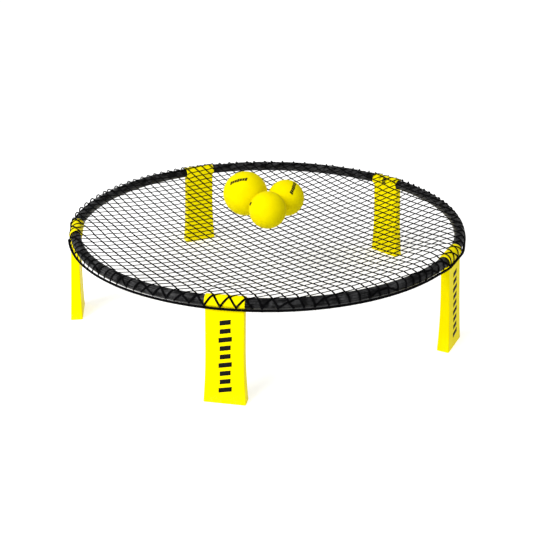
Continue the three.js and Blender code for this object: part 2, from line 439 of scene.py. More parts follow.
YELLOW_GLOSS = (1.0, 0.85, 0.12, 1)  # the highlights on yellow pieces stay yellow
TUBE_GLOSS = 1.2  # refractive indices, low so that the pieces reflect little of the white world
SOFT_GLOSS = 1.07
NEAR_BLACK = (0.0012, 0.0012, 0.0014, 1)
# A lighter black for the braid's yarn crowns: partly dust, partly painted sheen.
NYLON_DUST_AND_SHEEN = (0.006, 0.006, 0.007, 1)


def leg_plastic():
    """Glossy yellow moulding: faint flow marks, a fine grain, and scuffs near the ground."""
    finish = Finish("leg_plastic", 0.36, IOR=SOFT_GLOSS, Specular_Tint=YELLOW_GLOSS)
    cloud = finish.noise(14, detail=4)
    flow_marks = finish.spread(cloud, 0.35, 0.7)
    yellow = finish.mix(flow_marks, (0.88, 0.75, 0.0, 1), (0.84, 0.70, 0.0, 1))
    height = finish.node("ShaderNodeSeparateXYZ", Vector=finish.place).outputs["Z"]
    near_ground = finish.spread(height, 0.0, 0.03, 1, 0)
    scratches = finish.spread(finish.noise(420, detail=6, roughness=0.7), 0.56, 0.62)
    scuffs = finish.math("MULTIPLY", near_ground, scratches)
    finish.colour(finish.mix(finish.math("MULTIPLY", scuffs, 0.35), yellow, (0.68, 0.56, 0.10, 1)))
    satin = finish.spread(cloud, 0.3, 0.7, 0.32, 0.42)
    finish.roughness(finish.math("ADD", satin, finish.math("MULTIPLY", scuffs, 0.3)))
    finish.bumps((finish.noise(1700, detail=2), 0.04 * MM), (finish.noise(60, detail=3), 0.12 * MM))
    return finish.material


def rim_plastic():
    """Dark satin tube: streaks along it, a crinkled skin that mottles the light, and painted highlights
    as lighter grey patches in its colour.
    """
    finish = Finish("rim_plastic", 0.42, IOR=TUBE_GLOSS)
    streaks = finish.noise(1, detail=5, roughness=0.6, place=finish.flow(30, 500))
    blotches = finish.noise(45, detail=4, roughness=0.6)
    # Painted highlights: the colour turns from near black to a lighter grey in streaky, blotchy
    # patches.
    painted_highlights = finish.spread(finish.math("MULTIPLY", streaks, blotches), 0.2, 0.38)
    finish.colour(finish.mix(painted_highlights, NEAR_BLACK, (0.056, 0.056, 0.058, 1)))
    finish.roughness(finish.spread(blotches, 0.35, 0.7, 0.34, 0.58))
    finish.bumps((blotches, 1.2 * MM), (streaks, 0.3 * MM), (finish.noise(900, detail=2), 0.05 * MM))
    return finish.material


def ferrule_plastic():
    """Dull dark grey sleeve with a fine grain."""
    finish = Finish("ferrule_plastic", 0.55)
    cloud = finish.noise(80, detail=4)
    finish.colour(finish.mix(cloud, (0.035, 0.035, 0.037, 1), (0.055, 0.055, 0.058, 1)))
    finish.bumps((finish.noise(1500, detail=2), 0.05 * MM))
    return finish.material


def braided_nylon(name, pitch):
    """Black braid: two crossing sets of fine yarns in relief, a little dusty, and with a painted sheen,
    so that its yarn crowns are lighter in patches.
    """
    finish = Finish(name, 0.6, IOR=SOFT_GLOSS)
    one_way = finish.waves(finish.flow(1 / pitch, 1 / pitch))
    other_way = finish.waves(finish.flow(1 / pitch, -1 / pitch))
    yarns = finish.math("MAXIMUM", one_way, other_way)
    dust_and_sheen = finish.noise(180, detail=4)
    # Lighter yarn crowns in blotchy patches: partly dust, partly painted sheen.
    share = finish.math("MULTIPLY", finish.spread(dust_and_sheen, 0.35, 0.75), yarns)
    finish.colour(finish.mix(share, NEAR_BLACK, NYLON_DUST_AND_SHEEN))
    finish.roughness(finish.spread(dust_and_sheen, 0.3, 0.7, 0.5, 0.72))
    finish.bumps((yarns, 0.18 * MM), (finish.noise(4000, detail=2), 0.03 * MM))
    return finish.material


def ball_rubber():
    """Yellow rubber skin: a fine pebble, soft blotches and a little handling dust."""
    finish = Finish("ball_rubber", 0.5, IOR=SOFT_GLOSS, Specular_Tint=YELLOW_GLOSS)
    cloud = finish.noise(35, detail=5, roughness=0.6)
    blotches = finish.spread(cloud, 0.35, 0.7)
    base = finish.mix(blotches, (0.84, 0.72, 0.0, 1), (0.80, 0.67, 0.0, 1))
    speckle = finish.spread(finish.noise(1100, detail=2), 0.6, 0.72, 0, 0.12)
    finish.colour(finish.mix(speckle, base, (0.60, 0.47, 0.01, 1)))
    pebble = finish.node("ShaderNodeTexVoronoi", Vector=finish.place, Scale=1050.0)
    pebble.feature = "SMOOTH_F1"
    finish.roughness(finish.spread(cloud, 0.3, 0.7, 0.46, 0.6))
    finish.bumps((pebble.outputs["Distance"], 0.12 * MM), (finish.noise(90, detail=3), 0.2 * MM))
    return finish.material


def valve_rubber():
    """Dull black rubber with a fine grain."""
    finish = Finish("valve_rubber", 0.6)
    grain = finish.noise(700, detail=4)
    finish.colour(finish.mix(grain, (0.008, 0.008, 0.008, 1), (0.022, 0.022, 0.022, 1)))
    finish.bumps((finish.noise(2500, detail=2), 0.03 * MM))
    return finish.material


def print_ink():
    """Black pad print: a thin, slightly broken coat."""
    finish = Finish("print_ink", 0.4, IOR=SOFT_GLOSS)
    grain = finish.noise(1600, detail=4, roughness=0.7)
    worn = finish.spread(grain, 0.5, 0.8)
    finish.colour(finish.mix(worn, (0.006, 0.006, 0.006, 1), (0.035, 0.033, 0.02, 1)))
    finish.bumps((grain, 0.03 * MM))
    return finish.material


def studio_floor():
    """White paper that glows a little, so that its edge can't be seen."""
    finish = Finish("studio_floor", 0.9, Emission_Color=(1, 1, 1, 1), Emission_Strength=0.62)
    finish.colour(finish.mix(finish.noise(2, detail=2), (0.76, 0.76, 0.76, 1), (0.80, 0.80, 0.80, 1)))
    return finish.material


# ---- rim ----


def rim_tube(index, material):
    """A curved hollow tube with rounded end lips, from one leg to the next."""
    margin = TUBE_END_GAP / 2 / RIM_RADIUS
    start = LEG_ANGLES[index] + margin
    end = LEG_ANGLES[index] + BAY_ANGLE - margin
    steps = 96
    sides = 40
    bore = TUBE_RADIUS - TUBE_WALL
    lip = TUBE_LIP / RIM_RADIUS
    run = np.linspace(start + lip, end - lip, steps + 1)
    turns = np.concatenate([[start], run, [end], [end], run[::-1], [start]])
    outside = [TUBE_RADIUS - TUBE_LIP] + [TUBE_RADIUS] * len(run) + [TUBE_RADIUS - TUBE_LIP]
    inside = [bore + TUBE_LIP] + [bore] * len(run) + [bore + TUBE_LIP]
    sizes = np.array(outside + inside)
    angles = FULL_TURN * np.arange(sides) / sides
    reach = RIM_RADIUS + sizes[:, None] * np.cos(angles)
    height = RIM_HEIGHT + sizes[:, None] * np.sin(angles)
    east = reach * np.cos(turns)[:, None]
    north = reach * np.sin(turns)[:, None]
    rows = np.stack([east, north, height], axis=-1)
    name = f"rim_tube_{index + 1}"
    around = FULL_TURN * TUBE_RADIUS
    mesh = grid_mesh(name, rows[:, ::-1], turns * RIM_RADIUS, around, close_rows=True)
    shown(f"{name}_skin", mesh, "rim", material, (name,))


# ---- legs, made in a frame with +X outwards from the tube's centre line and +Y along the tangent ----


def blade_section(height):
    """(inner face, outer face, half width) of the blade at a height."""
    share = height / RIM_HEIGHT
    lean = (OUTER_FACE_AT_FOOT - OUTER_FACE_AT_HEAD) * share
    outer = OUTER_FACE_AT_FOOT - lean
    thickening = max(0.0, 1 - share / HEEL_SHARE) ** 2
    widening = max(0.0, 1 - share / FLARE_SHARE) ** 2
    depth = DEPTH_AT_HEAD + DEPTH_GAIN_AT_FOOT * thickening
    return outer - depth, outer, LEG_HALF_WIDTH + (FOOT_HALF_WIDTH - LEG_HALF_WIDTH) * widening


def rounded_rectangle(x_low, x_high, half_width, radius, height):
    """A level loop of points with rounded corners."""
    loop = []
    right = half_width - radius
    centres = (
        (x_high - radius, right),
        (x_low + radius, right),
        (x_low + radius, -right),
        (x_high - radius, -right),
    )
    for number, centre in enumerate(centres):
        turn = 90 * number
        loop.extend((x, y, height) for x, y in arc(centre, radius, turn, turn + 90, 5))
    return loop


def blade_solid(name, inset, corner, heights, edge=0.0):
    """A loft through the blade's sections, shrunk by inset; edge rounds its lowest rim."""
    rows = []
    for height in heights:
        inner, outer, half_width = blade_section(min(max(height, 0.0), RIM_HEIGHT))
        pulled = inset
        if edge and height < edge:
            pulled += edge - math.sqrt(edge**2 - (edge - height) ** 2)
        sides = (inner + pulled, outer - pulled, half_width - pulled)
        rows.append(rounded_rectangle(*sides, corner, height))
    return temporary(name, grid_mesh(name, np.array(rows), np.array(heights), 1.0, cap_ends=True))


def collar_solid(name, radius, half_length, lip):
    """A round bar along the hinge axis with rounded rims."""
    profile = [(AXIS_RADIUS, -half_length)]
    profile += arc((radius - lip, -half_length + lip), lip, -90, 0, 6)
    profile += arc((radius - lip, half_length - lip), lip, 0, 90, 6)
    profile += [(AXIS_RADIUS, half_length)]
    centre = np.array([HINGE_RADIUS - RIM_RADIUS, 0.0, RIM_HEIGHT])
    rows = revolved(profile, COLLAR_STEPS, (0, 1, 0), centre)
    along = np.linspace(0, 1, len(profile))
    return temporary(name, grid_mesh(name, rows[::-1], along, 1.0, cap_ends=True))


def temporary(name, mesh):
    """An object for a boolean, with its coincident points joined."""
    weld(mesh, FINEST_WELD)
    return linked(name, mesh)


def carve(base, steps):
    """Runs exact booleans on base in order, and returns the mesh that results."""
    for operation, tool in steps:
        boolean = base.modifiers.new(tool.name, "BOOLEAN")
        boolean.operation = operation
        boolean.object = tool
        boolean.solver = "EXACT"
    graph = bpy.context.evaluated_depsgraph_get()
    mesh = bpy.data.meshes.new_from_object(base.evaluated_get(graph))
    for holder in [base] + [tool for _, tool in steps]:
        bpy.data.objects.remove(holder)
    return mesh


def leg_mesh():
    """A hollow blade, open at the foot, with a bored collar at its head."""
    foot = [FOOT_EDGE_RADIUS * step / FOOT_EDGE_ROWS for step in range(FOOT_EDGE_ROWS)]
    heights = foot + list(np.linspace(FOOT_EDGE_RADIUS, RIM_HEIGHT, LEG_ROWS))
    blade = blade_solid("blade", 0, LEG_CORNER_RADIUS, heights, FOOT_EDGE_RADIUS)
    cavity_heights = [-OVERRUN] + list(np.linspace(0, CAVITY_TOP, CAVITY_ROWS))
    cavity = blade_solid("cavity", LEG_WALL, CAVITY_CORNER_RADIUS, cavity_heights)
    collar = collar_solid("collar", COLLAR_RADIUS, COLLAR_HALF_LENGTH, COLLAR_LIP)
    bore = collar_solid("bore", COLLAR_BORE_RADIUS, COLLAR_HALF_LENGTH + OVERRUN, COLLAR_LIP)
    mesh = carve(blade, [("DIFFERENCE", cavity), ("UNION", collar), ("DIFFERENCE", bore)])
    mark_sharp(mesh)
    return mesh


def leg_place(index):
    """From the leg's own frame to the row frame."""
    angle = LEG_ANGLES[index]
    out = Vector(spoke_at(angle)) * RIM_RADIUS
    return Matrix.Translation(out) @ Matrix.Rotation(angle, 4, "Z")


def leg(index, shape, material):
    """A leg's moulding, from the shape that all the legs share."""
    mesh = shape.copy()
    mesh.transform(leg_place(index))
    name = f"leg_{index + 1}"
    piece = shown(f"{name}_moulding", mesh, name, material, (name,))
    piece.modifiers.new("weighted_normals", "WEIGHTED_NORMAL").keep_sharp = True


# ---- generic prints: slanted bars, standing for the marks that were left out ----


def slanted_bars(place, name, thickness, count, width, height, gap, slant):
    """The mesh of a column of slanted bars. place maps (across, up, out) to a point."""
    parts = MeshParts()
    total = count * height + (count - 1) * gap
    for number in range(count):
        low = -total / 2 + number * (height + gap)
        share = 0.88 + 0.12 * math.cos(number * 2.1)  # the bars differ in width
        edges = np.linspace(-1, 1, PRINT_COLUMNS + 1) * width / 2 * share
        for left, right in zip(edges, edges[1:]):
            outline = [
                (left, low + slant * left),
                (right, low + slant * right),
                (right, low + height + slant * right),
                (left, low + height + slant * left),
            ]
            inner = [place(x, y, PRINT_GAP) for x, y in outline]
            outer = [place(x, y, PRINT_GAP + thickness) for x, y in outline]
            faces = [(4, 5, 6, 7), (3, 2, 1, 0), (0, 1, 5, 4), (2, 3, 7, 6)]
            if left == edges[0]:
                faces.append((3, 0, 4, 7))
            if right == edges[-1]:
                faces.append((1, 2, 6, 5))
            parts.add(inner + outer, faces, [((0, 0), (1, 0), (1, 1), (0, 1))] * len(faces))
    mesh = parts.mesh(name)
    weld(mesh, FINE_WELD)
    return mesh


def leg_print(index, material):
    """A tall column of bars on the blade's outer face."""
    matrix = leg_place(index)
    lean = (OUTER_FACE_AT_FOOT - OUTER_FACE_AT_HEAD) / RIM_HEIGHT

    def place(across, up, out):
        height = LEG_PRINT_MIDDLE + up
        face = OUTER_FACE_AT_FOOT - lean * height
        return matrix @ Vector((face + out, across + LEG_PRINT_SHIFT, height))

    name = f"leg_{index + 1}_print"
    bars = {"count": 9, "width": 26 * MM, "height": 9.6 * MM, "gap": 7.8 * MM, "slant": 0.2}
    mesh = slanted_bars(place, name, PRINT_THICKNESS, **bars)
    shown(name, mesh, f"leg_{index + 1}", material)


def collar_mark(index, material):
    """A few small bars on the inner side of a leg's collar."""
    matrix = leg_place(index)
    centre = HINGE_RADIUS - RIM_RADIUS

    def place(across, up, out):
        swing = COLLAR_MARK_FACING + up / COLLAR_RADIUS
        size = COLLAR_RADIUS + out
        x = centre - size * math.cos(swing)
        return matrix @ Vector((x, across, RIM_HEIGHT + size * math.sin(swing)))

    name = f"leg_{index + 1}_mark"
    bars = {"count": 6, "width": 13 * MM, "height": 2.3 * MM, "gap": 0.5 * MM, "slant": -0.2}
    mesh = slanted_bars(place, name, COLLAR_MARK_THICKNESS, **bars)
    shown(name, mesh, f"leg_{index + 1}", material)


# ---- net ----


def collar_share(turn, fade):
    """1 over a collar, fading to 0 beyond its end, and the distance from the nearest leg's middle."""
    offsets = (np.asarray(turn)[..., None] - np.array(LEG_ANGLES) + math.pi) % FULL_TURN - math.pi
    nearest = np.min(np.abs(offsets), axis=-1) * RIM_RADIUS
    return 1 - smooth_step(nearest, COLLAR_HALF_LENGTH, COLLAR_HALF_LENGTH + fade), nearest


def wrap_circle(turn):
    """Radius of the circle the net wraps round, and the radius at which its centre stands."""
    share, nearest = collar_share(turn, WRAP_FADE)
    straight = np.hypot(HINGE_RADIUS, nearest)
    size = TUBE_RADIUS + (COLLAR_RADIUS - TUBE_RADIUS) * share + WRAP_GAP
    return size, RIM_RADIUS + (straight - RIM_RADIUS) * share


def slackness(turn):
    """0 where the lacing is tight and 1 where it is slack."""
    degrees = np.degrees(turn) % 360
    return smooth_step(degrees, *SLACK_OPENING) * (1 - smooth_step(degrees, *SLACK_CLOSING))


def drape(flat, lift):
    """Points on the net for points of its flat plan, lifted off along the normal. Also the normals."""
    reach = np.hypot(flat[:, 0], flat[:, 1])
    turn = np.arctan2(flat[:, 1], flat[:, 0])
    size, centre = wrap_circle(turn)
    leave_reach = centre - size * math.sin(WRAP_LEAN)
    leave_height = RIM_HEIGHT + size * math.cos(WRAP_LEAN)
    sagging = NET_CENTRE_HEIGHT + NET_CURVATURE * reach**2
    leading = leave_height - WRAP_SLOPE * (leave_reach - reach)
    share = np.clip(0.5 + (leading - sagging) / (2 * WRAP_BLEND), 0, 1)
    height = sagging + (leading - sagging) * share + WRAP_BLEND * share * (1 - share)
    slope = 2 * NET_CURVATURE * reach * (1 - share) + WRAP_SLOPE * share
    swing = math.pi / 2 + WRAP_LEAN - np.maximum(0, reach - leave_reach) / size
    wrapped = reach > leave_reach
    radial = np.where(wrapped, centre + size * np.cos(swing), reach)
    height = np.where(wrapped, RIM_HEIGHT + size * np.sin(swing), height)
    tilt = np.where(wrapped, swing, math.pi / 2 + np.arctan(slope))
    radial = radial + lift * np.cos(tilt)
    height = height + lift * np.sin(tilt)
    spokes = spoke_at(turn)
    points = spokes * radial[:, None] + UP * height[:, None]
    normals = spokes * np.cos(tilt)[:, None] + UP * np.sin(tilt)[:, None]
    return points, normals


def knot_place(i, j):
    """A knot's place in the flat plan. The outer ones are pulled out and dragged round the rim."""
    flat = lattice_place(i, j)
    reach = math.hypot(*flat)
    turn = math.atan2(flat[1], flat[0])
    share = smooth_step(reach, EDGE_PULL_START, RIM_RADIUS)
    drift = LACING_DRIFT * math.cos((turn - LACING_DRIFT_TURN) / 2) ** 2
    for tug_turn, tug in LACING_TUGS:
        drift += tug * smooth_step(math.cos(turn - tug_turn), LACING_TUG_END, 1)
    turn += drift * share / RIM_RADIUS
    reach += EDGE_PULL * share
    return reach * spoke_at(turn)[:2]


def lattice_place(i, j):
    """A knot's place in the plain lattice."""
    return FIRST_KNOT + i * BAR_A + j * BAR_B


def is_free(i, j):
    """Whether a knot lies inside the rim's lacing."""
    return math.hypot(*lattice_place(i, j)) <= FREE_REACH


# An eye is the small loop by which the net's edge hangs on the cord. Its shape, as offsets from the
# cord's middle in mm: along the rim, outwards and up. The first is the knot where the strands end.
TIGHT_EYE = (
    (0, -1.6, 3.9),
    (1.2, 0.4, 2.8),
    (1.6, 2.0, 0.2),
    (0.8, 0.8, -2.3),
    (-0.8, -1.6, -2.4),
    (-1.6, -2.7, 0),
    (-1.2, -2.6, 2),
)
SLACK_EYE = (
    (0, -5.6, 8.8),
    (2.6, -2.4, 11.2),
    (4.2, 1.0, 7.8),
    (3.0, 2.6, 1),
    (0, 0.4, -3.6),
    (-2.8, -3, 1),
    (-3.8, -4.4, 6.4),
)
HOOK_MERGE = 8 * MM  # hooks nearer than this along the rim share one eye
HOOK_LIFT = 0.3 * MM  # of a hook, at least, above the rest of the wrapped net


def cord_place(turn):
    """The cord's reach and height at a turn: clear of the rim and of the collars."""
    past_left = (np.degrees(turn) - 180) % 360
    rise = 1 - smooth_step(past_left, *CORD_FALL_TURNS) + smooth_step(past_left, *CORD_RISE_TURNS)
    height = CORD_HEIGHT - CORD_DROP + CORD_RISE * rise
    reach = CORD_RING_RADIUS - CORD_DRAW_IN * np.maximum(0, np.cos(turn)) ** 2
    share, nearest = collar_share(turn, CORD_BRIDGE)
    clear = TUBE_RADIUS + (COLLAR_RADIUS - TUBE_RADIUS) * share
    straight = np.hypot(HINGE_RADIUS, np.minimum(nearest, COLLAR_HALF_LENGTH))
    centre = RIM_RADIUS + (straight - RIM_RADIUS) * share
    from_tuck = RIM_RADIUS * np.arccos(np.clip(np.cos(turn - LEG_ANGLES[CORD_TUCK_LEG]), -1, 1))
    tuck = 1 - smooth_step(from_tuck, CORD_TUCK_FULL, CORD_TUCK_START)
    height = height - CORD_TUCK_DROP * tuck
    cord_size = CORD_RADIUS * CORD_SWELL
    on_blade = centre + OUTER_FACE_AT_HEAD + cord_size + CORD_TUCK_GAP
    reach = reach + (on_blade - reach) * tuck
    least = clear + cord_size + CORD_CLEARANCE
    out = np.sqrt(np.maximum((reach - centre) ** 2, least**2 - (height - RIM_HEIGHT) ** 2))
    return centre + out, height


def eye_offsets(turn):
    """The points of an eye about the cord, in metres."""
    share = slackness(turn)
    return (np.array(TIGHT_EYE) * (1 - share) + np.array(SLACK_EYE) * share) * MM


class Hook:
    """Where strands leave the rim for the cord: a turn about the ring, and a place in the flat plan."""

    def __init__(self, turn):
        self.settle(turn)

    def settle(self, turn):
        """Moves the hook to a turn."""
        self.turn = turn
        size, centre = wrap_circle(turn)
        _, outwards, upwards = eye_offsets(turn)[0]
        reach, height = cord_place(turn)
        out = reach + outwards - centre
        up = height + upwards - RIM_HEIGHT
        distance = max(math.hypot(out, up), size + HOOK_LIFT)
        swing = math.atan2(up, out)
        self.lift = distance - size
        self.knot_radial = centre + distance * math.cos(swing)
        self.knot_height = RIM_HEIGHT + distance * math.sin(swing)
        wrapped = size * (math.pi / 2 + WRAP_LEAN - swing)
        spread = centre - size * math.sin(WRAP_LEAN) + wrapped
        self.flat = spoke_at(turn)[:2] * spread


def net_hooks():
    """A hook for each knot just outside the free net; near ones are merged."""
    hooks = {}
    for i in KNOT_SPAN:
        for j in KNOT_SPAN:
            neighbours = ((i + 1, j), (i - 1, j), (i, j + 1), (i, j - 1))
            if not is_free(i, j) and any(is_free(*other) for other in neighbours):
                place = knot_place(i, j)
                hooks[i, j] = Hook(math.atan2(place[1], place[0]))
    order = sorted(hooks.values(), key=lambda hook: hook.turn)
    for before, after in zip(order, order[1:] + order[:1]):
        gap = (after.turn - before.turn) % FULL_TURN
        if gap * RIM_RADIUS < HOOK_MERGE:
            middle = before.turn + gap / 2
            before.settle(middle)
            after.settle(middle)
    return hooks


def strand_runs(family):
    """The knots of each strand of a family, hook to hook."""
    for line in KNOT_SPAN:
        keys = [(step, line) if family == "a" else (line, step) for step in KNOT_SPAN]
        free = [index for index, key in enumerate(keys) if is_free(*key)]
        if free:
            yield keys[free[0] - 1 : free[-1] + 2]


# A knot that a strand runs through, or the hook that it ends on, in the flat plan.
Stop = namedtuple("Stop", ("entry", "centre", "leave", "lift", "is_hook"))


def knot_stop(key, family):
    """The stop at a knot. The two strands lie side by side in it, and one is a little higher."""
    heading = math.atan2(*(BAR_A + BAR_B)[::-1]) + KNOT_TURN
    side = 1 if family == "a" else -1
    along = spoke_at(heading)[:2] * KNOT_HALF_LENGTH
    half = along + side * spoke_at(heading + math.pi / 2)[:2] * KNOT_SPREAD
    centre = knot_place(*key)
    on_top = (key[0] + key[1]) % 2 == (family == "a")
    return Stop(centre - half, centre, centre + half, KNOT_LIFT if on_top else -KNOT_LIFT, False)


def bar_rows(start, end):
    """Flat points and lifts along the bar between two stops."""
    bar = end.entry - start.leave
    start_lift = start.lift if start.is_hook else 0.0
    end_lift = end.lift if end.is_hook else 0.0
    near_rim = max(math.hypot(*end.entry), math.hypot(*start.leave)) > RIM_RADIUS - RIM_NEARNESS
    inner = RIM_BAR_STEPS if near_rim else 1
    bend = BEND_REACH / np.linalg.norm(bar)
    for share in [bend] + [(k + 1) / (inner + 1) for k in range(inner)] + [1 - bend]:
        if start.is_hook:
            lift = end_lift + (start_lift - end_lift) * (1 - share) ** 2
        else:
            lift = start_lift + (end_lift - start_lift) * share**2
        yield start.leave + bar * share, lift


def stop_rows(stop):
    """Flat points and lifts through a knot, or at a hook."""
    if stop.is_hook:
        return [(stop.entry, stop.lift)]
    shoulder = unit(stop.leave - stop.entry) * BEND_REACH / 2
    low = math.copysign(KNOT_SHOULDER_LIFT, stop.lift)
    return [(stop.entry + shoulder, low), (stop.centre, stop.lift), (stop.leave - shoulder, low)]


def strand_path(run, family, hooks):
    """Rows of flat point, lift, width and thickness along one strand."""
    stops = []
    for key in run:
        if key in hooks:
            flat = hooks[key].flat
            stops.append(Stop(flat, flat, flat, hooks[key].lift, True))
        else:
            stops.append(knot_stop(key, family))
    rows = []
    for number, stop in enumerate(stops):
        if number:
            for flat, lift in bar_rows(stops[number - 1], stop):
                rows.append((*flat, lift, STRAND_WIDTH, STRAND_THICKNESS))
        for flat, lift in stop_rows(stop):
            rows.append((*flat, lift, KNOT_WIDTH, KNOT_THICKNESS))
    return np.array(rows)


def net_strands(family, hooks, material, replaces):
    """All the strands of a family as one piece."""
    parts = MeshParts()
    for run in strand_runs(family):
        rows = strand_path(run, family, hooks)
        points, normals = drape(rows[:, :2], rows[:, 2])
        sweep(parts, points, normals, rows[:, 3], rows[:, 4])
    name = f"net_strands_{family}"
    shown(name, parts.mesh(name), "net", material, replaces)


def closed_curve(points, steps):
    """A smooth closed curve through points (Catmull-Rom), with this many steps between each two."""
    count = len(points)
    result = []
    for index in range(count):
        p0, p1, p2, p3 = (points[(index + k - 1) % count] for k in range(4))
        slope = p2 - p0
        bend = 2 * p0 - 5 * p1 + 4 * p2 - p3
        twist = 3 * p1 - p0 - 3 * p2 + p3
        for step in range(steps):
            t = step / steps
            result.append(0.5 * (2 * p1 + slope * t + bend * t**2 + twist * t**3))
    return np.array(result)


def net_eyes(hooks, material):
    """The loops that hang the net on its cord, each with its small barrel-shaped knot."""
    parts = MeshParts()
    spots = np.linspace(-1, 1, BARREL_ROWS)
    taper = np.sqrt(1 - BARREL_TAPER * spots**2)
    for turn in sorted({round(hook.turn, 6) for hook in hooks.values()}):
        hook = Hook(turn)
        spoke = spoke_at(turn)
        tangent = np.cross(UP, spoke)
        reach, height = cord_place(turn)
        offsets = eye_offsets(turn)
        control = spoke * reach + UP * height + offsets @ np.array([tangent, spoke, UP])
        knot = spoke * hook.knot_radial + UP * hook.knot_height
        control[0] = knot
        curve = closed_curve(control, 5)
        outward = unit(curve - curve.mean(axis=0))
        slack = slackness(turn)
        eye_size = TIGHT_EYE_THICKNESS * (1 - slack) + SLACK_EYE_THICKNESS * slack
        sizes = np.full(len(curve), eye_size)
        sweep(parts, curve, outward, sizes, sizes * EYE_FLATNESS, sides=6, closed=True)
        barrel = knot + tangent * (spots * BARREL_HALF_LENGTH)[:, None]
        barrel_size = TIGHT_BARREL_THICKNESS * (1 - slack) + SLACK_BARREL_THICKNESS * slack
        bulge = barrel_size * taper
        facing = np.repeat(spoke[None], BARREL_ROWS, axis=0)
        sweep(parts, barrel, facing, bulge, bulge * BARREL_FLATNESS)
    name = "net_eyes"
    shown(name, parts.mesh(name), "net", material)


def perimeter_cord(material):
    """A braided cord: crossing yarns stand out of its surface in a diamond pattern."""
    turns = FULL_TURN * np.arange(CORD_STEPS) / CORD_STEPS
    spokes = spoke_at(turns)
    reach, height = cord_place(turns)
    centre = spokes * reach[:, None] + UP * height[:, None]
    angles = FULL_TURN * np.arange(CORD_SIDES) / CORD_SIDES
    lay = BRAID_TURNS * turns[:, None]
    weave = np.sin(lay + BRAID_YARNS * angles) * np.sin(lay - BRAID_YARNS * angles)
    size = CORD_RADIUS * (CORD_SWELL + BRAID_RELIEF * weave)
    out = spokes[:, None] * (size * np.cos(angles))[..., None]
    rows = centre[:, None] + out + UP * (size * np.sin(angles))[..., None]
    name = "perimeter_cord"
    along = turns * CORD_RING_RADIUS
    mesh = grid_mesh(name, rows[:, ::-1], along, FULL_TURN * CORD_RADIUS, close_rows=True)
    shown(f"{name}_braid", mesh, "net", material, (name,))


# ---- balls ----

VALVE_RADIUS = 3.4 * MM
VALVE_CLEARANCE = 0.3 * MM
VALVE_LENGTH = 9 * MM
VALVE_SINK = 0.6 * MM  # from the ball's surface to the valve's face
VALVE_EDGE_RADIUS = 0.7 * MM
VALVE_CHAMFER = 0.4 * MM
NEEDLE_HOLE_RADIUS = 0.7 * MM
NEEDLE_HOLE_CHAMFER = 0.3 * MM
NEEDLE_HOLE_DEPTH = 4 * MM
PIT_DEPTH = VALVE_LENGTH + VALVE_CLEARANCE
PIT_LIP = 0.8 * MM
PIT_LIP_DROP = 0.1 * MM
SEAM_HALF_WIDTH = 0.6 * MM
SEAM_HEIGHT = 0.08 * MM
BALL_SHELL_DEPTH = 2.4 * MM  # deeper corners of the CAD ball are its hollow or its pit
BALL_STEPS = 112


def ball_shape(name):
    """Centre and radius of a ball, from the outer corners of its CAD shell."""
    points = node_points(name)
    low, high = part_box(name)
    guess = np.array((low + high) / 2)
    distance = np.linalg.norm(points - guess, axis=1)
    skin = points[distance > distance.max() - BALL_SHELL_DEPTH]
    system = np.column_stack([2 * skin, np.ones(len(skin))])
    solution = np.linalg.lstsq(system, (skin**2).sum(axis=1), rcond=None)[0]
    centre = solution[:3]
    return centre, math.sqrt(solution[3] + centre @ centre)


def ball_axis(name, centre):
    """The direction from a ball's centre to its valve."""
    low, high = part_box(f"{name}_valve")
    return unit(np.array((low + high) / 2) - centre)


def ball_skin(name, centre, radius, axis, material):
    """A sphere with a lipped pit for the valve, and a faint mould seam round its middle."""
    pit = VALVE_RADIUS + VALVE_CLEARANCE
    first = math.asin((pit + PIT_LIP) / radius)  # angles are from the valve's axis
    middle = math.pi / 2
    seam = SEAM_HALF_WIDTH / radius
    upper = np.linspace(first, middle - 3 * seam, 44)
    near_seam = middle + seam * np.array([-2, -1, -0.5, 0, 0.5, 1, 2])
    lower = np.linspace(middle + 3 * seam, math.pi - 0.0005, 46)
    angles = np.concatenate([upper, near_seam, lower])
    sizes = radius + SEAM_HEIGHT * np.exp(-(((angles - middle) / seam) ** 2))
    profile = [(AXIS_RADIUS, radius - PIT_DEPTH), (pit, radius - PIT_DEPTH)]
    lip_height = (radius - PIT_LIP) * math.cos(first) - PIT_LIP_DROP
    profile += arc((pit + PIT_LIP, lip_height), PIT_LIP, 180, 105, 5)
    profile += zip(sizes * np.sin(angles), sizes * np.cos(angles))
    rows = revolved(profile, BALL_STEPS, axis, centre)
    along = np.linspace(0, math.pi * radius, len(profile))
    mesh = grid_mesh(name, rows, along, FULL_TURN * radius, cap_ends=True)
    weld(mesh, FINE_WELD)
    shown(f"{name}_skin", mesh, name, material, (name,))


def valve_plug(name, centre, radius, axis, material):
    """A round plug with a rounded face and a needle hole."""
    top = radius - VALVE_SINK
    bottom = radius - VALVE_LENGTH
    edge = VALVE_EDGE_RADIUS
    hole = NEEDLE_HOLE_RADIUS
    hole_end = top - NEEDLE_HOLE_DEPTH
    profile = [(AXIS_RADIUS, bottom), (VALVE_RADIUS - VALVE_CHAMFER, bottom)]
    profile += [(VALVE_RADIUS, bottom + VALVE_CHAMFER)]
    profile += arc((VALVE_RADIUS - edge, top - edge), edge, 0, 90, 5)
    profile += [(hole + NEEDLE_HOLE_CHAMFER, top), (hole, top - NEEDLE_HOLE_CHAMFER)]
    profile += [(hole, hole_end), (AXIS_RADIUS, hole_end - VALVE_CHAMFER)]
    rows = revolved(profile, 40, axis, centre)
    along = np.linspace(0, 0.02, len(profile))
    node = f"{name}_valve"
    mesh = grid_mesh(node, rows, along, FULL_TURN * VALVE_RADIUS, cap_ends=True)
    weld(mesh, FINE_WELD)
    shown(f"{node}_plug", mesh, name, material, (node,))


# Where each ball's print faces, the way its row of bars runs, and the row's length.
BALL_PRINTS = {
    "ball_large": ((-0.20, -0.58, 0.79), (0.97, 0.22, 0.09), 45 * MM),
    "ball_small_1": ((-0.95, -0.05, 0.29), (-0.16, 0.885, -0.436), 38 * MM),
    "ball_small_2": ((0.48, -0.42, 0.77), (0.36, 0.47, 0.81), 40 * MM),
}


